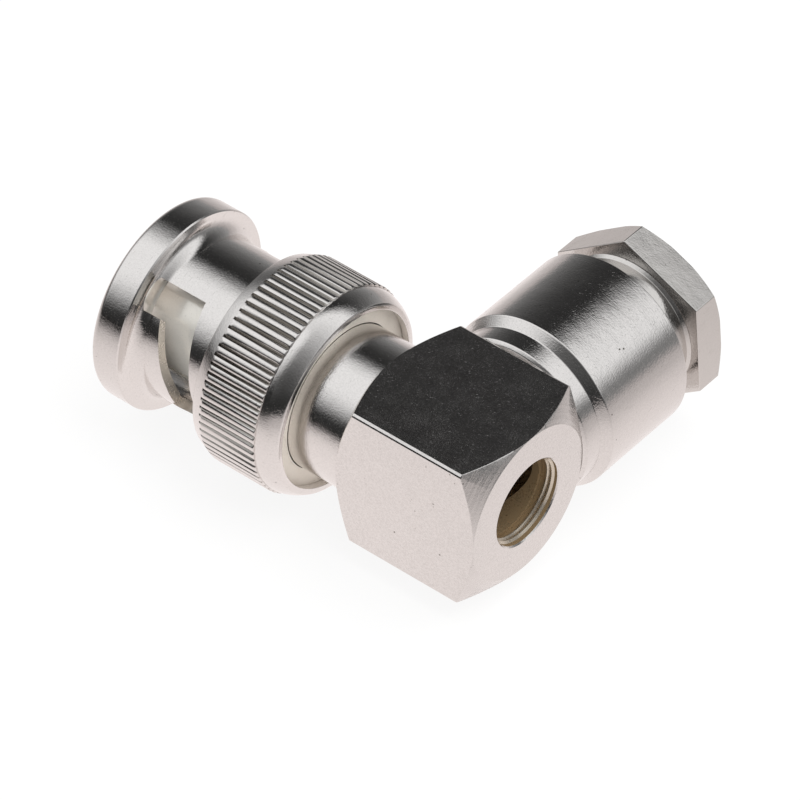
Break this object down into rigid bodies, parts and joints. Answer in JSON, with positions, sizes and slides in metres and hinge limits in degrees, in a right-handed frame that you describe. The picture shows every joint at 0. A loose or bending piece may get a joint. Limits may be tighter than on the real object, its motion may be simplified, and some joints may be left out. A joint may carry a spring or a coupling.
{
  "type": "right angle bnc connector",
  "caption": "Right-angle bayonet coaxial plug with a knurled coupling ring, a square elbow block and a cable clamp with a hexagon nut; it has no cable and no access cap.",
  "frame": {"origin": "on the plug axis at the mating reference plane, which is the tip plane of the outer contact shell", "axes": "-X is the direction in which the plug mates, along the plug axis; +Y is the direction in which the cable leaves, along the cable axis at x = 22.8 mm; +Z is square to both"},
  "size_m": [0.0301, 0.0267, 0.0144],
  "materials": {
    "nickel": "satin nickel plate on turned brass",
    "spring_steel": "plain rolled spring strip",
    "gasket_rubber": "dull moulded silicone rubber",
    "insulator": "turned white fluoropolymer, waxy",
    "gold": "gold plate on turned brass"
  },
  "bodies": {
    "body": {"elbow_body": "nickel", "contact_shell": "nickel", "mating_gasket": "gasket_rubber", "front_insulator": "insulator", "rear_insulator": "insulator", "centre_contact": "gold", "clamp_sleeve": "nickel", "braid_clamp": "nickel", "cable_gasket": "gasket_rubber", "front_spring_washer": "spring_steel", "rear_spring_washer": "spring_steel"},
    "ring_slider": {"thrust_washer": "spring_steel"},
    "ring": {"coupling_ring": "nickel", "closing_washer": "nickel"},
    "nut_slider": {"slip_washer": "nickel"},
    "nut": {"clamp_nut": "nickel"}
  },
  "joints": [
    {"name": "ring_pull", "type": "slide", "parent": "body", "child": "ring_slider", "axis": [-1, 0, 0], "range_m": [0, 0.00145], "stiffness_N_per_m": 12000, "deforming": ["front_spring_washer", "rear_spring_washer"]},
    {"name": "ring_spin", "type": "hinge", "parent": "ring_slider", "child": "ring", "pos_m": [0, 0, 0], "axis": [-1, 0, 0], "continuous": true},
    {"name": "nut_travel", "type": "slide", "parent": "body", "child": "nut_slider", "axis": [0, 1, 0], "range_m": [-0.0021, 0.0018]},
    {"name": "nut_turn", "type": "hinge", "parent": "nut_slider", "child": "nut", "pos_m": [0.0228, 0, 0], "axis": [0, 1, 0], "range_deg": [-1000, 850]}
  ],
  "couplings": [
    {"joint": "nut_travel", "follows": "nut_turn", "m_per_rad": 0.00011937}
  ]
}
